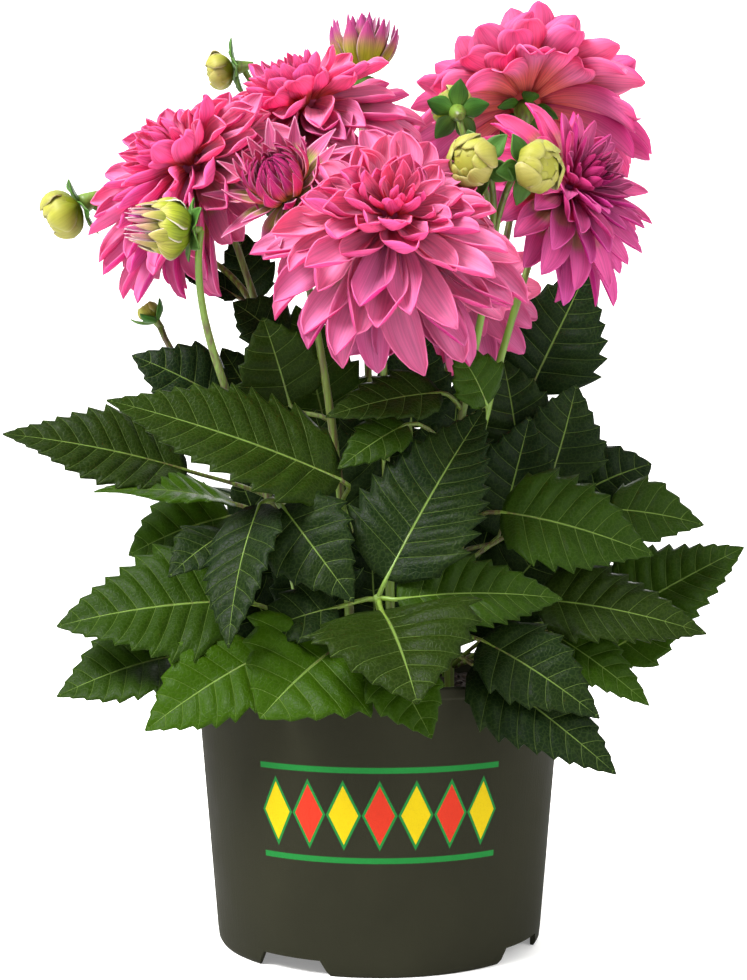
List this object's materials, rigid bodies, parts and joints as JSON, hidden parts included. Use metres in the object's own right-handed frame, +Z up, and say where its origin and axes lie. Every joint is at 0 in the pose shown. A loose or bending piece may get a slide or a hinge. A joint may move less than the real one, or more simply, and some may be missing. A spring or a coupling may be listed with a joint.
{
  "type": "potted dahlia",
  "caption": "Bushy dahlia with double pink blooms, buds and toothed leaves, standing in soil in a round tapered plastic nursery pot.",
  "frame": {"origin": "centre of the pot's foot, on the surface that the pot stands on; the foliage hangs over the pot about as far to each side", "axes": "+Z up, -Y towards the viewer of the picture, +X to the viewer's right"},
  "size_m": [0.38, 0.3017, 0.4982],
  "materials": {
    "pot": "satin",
    "soil": "matte",
    "foliage": "satin",
    "petals": "matte",
    "young_petals": "matte",
    "buds": "matte"
  },
  "bodies": {
    "root": {"pot": "pot", "soil": "soil", "shoot_left": "foliage", "shoot_left_front": "foliage", "shoot_half_open": "foliage", "shoot_front": "foliage", "shoot_twin": "foliage", "shoot_right": "foliage", "shoot_behind": "foliage", "shoot_top_right": "foliage", "shoot_top": "foliage", "shoot_back_left": "foliage", "bloom_front": "petals", "bloom_left": "petals", "bloom_back_left": "petals", "bloom_top_right": "petals", "bloom_right": "petals", "bloom_behind": "petals", "bloom_half_open": "young_petals", "bud_top": "young_petals", "bud_left_front": "buds", "bud_left": "buds", "bud_upper_left": "buds", "bud_twin_left": "buds", "bud_twin_right": "buds", "bud_back": "buds", "bud_side": "buds"}
  },
  "joints": []
}
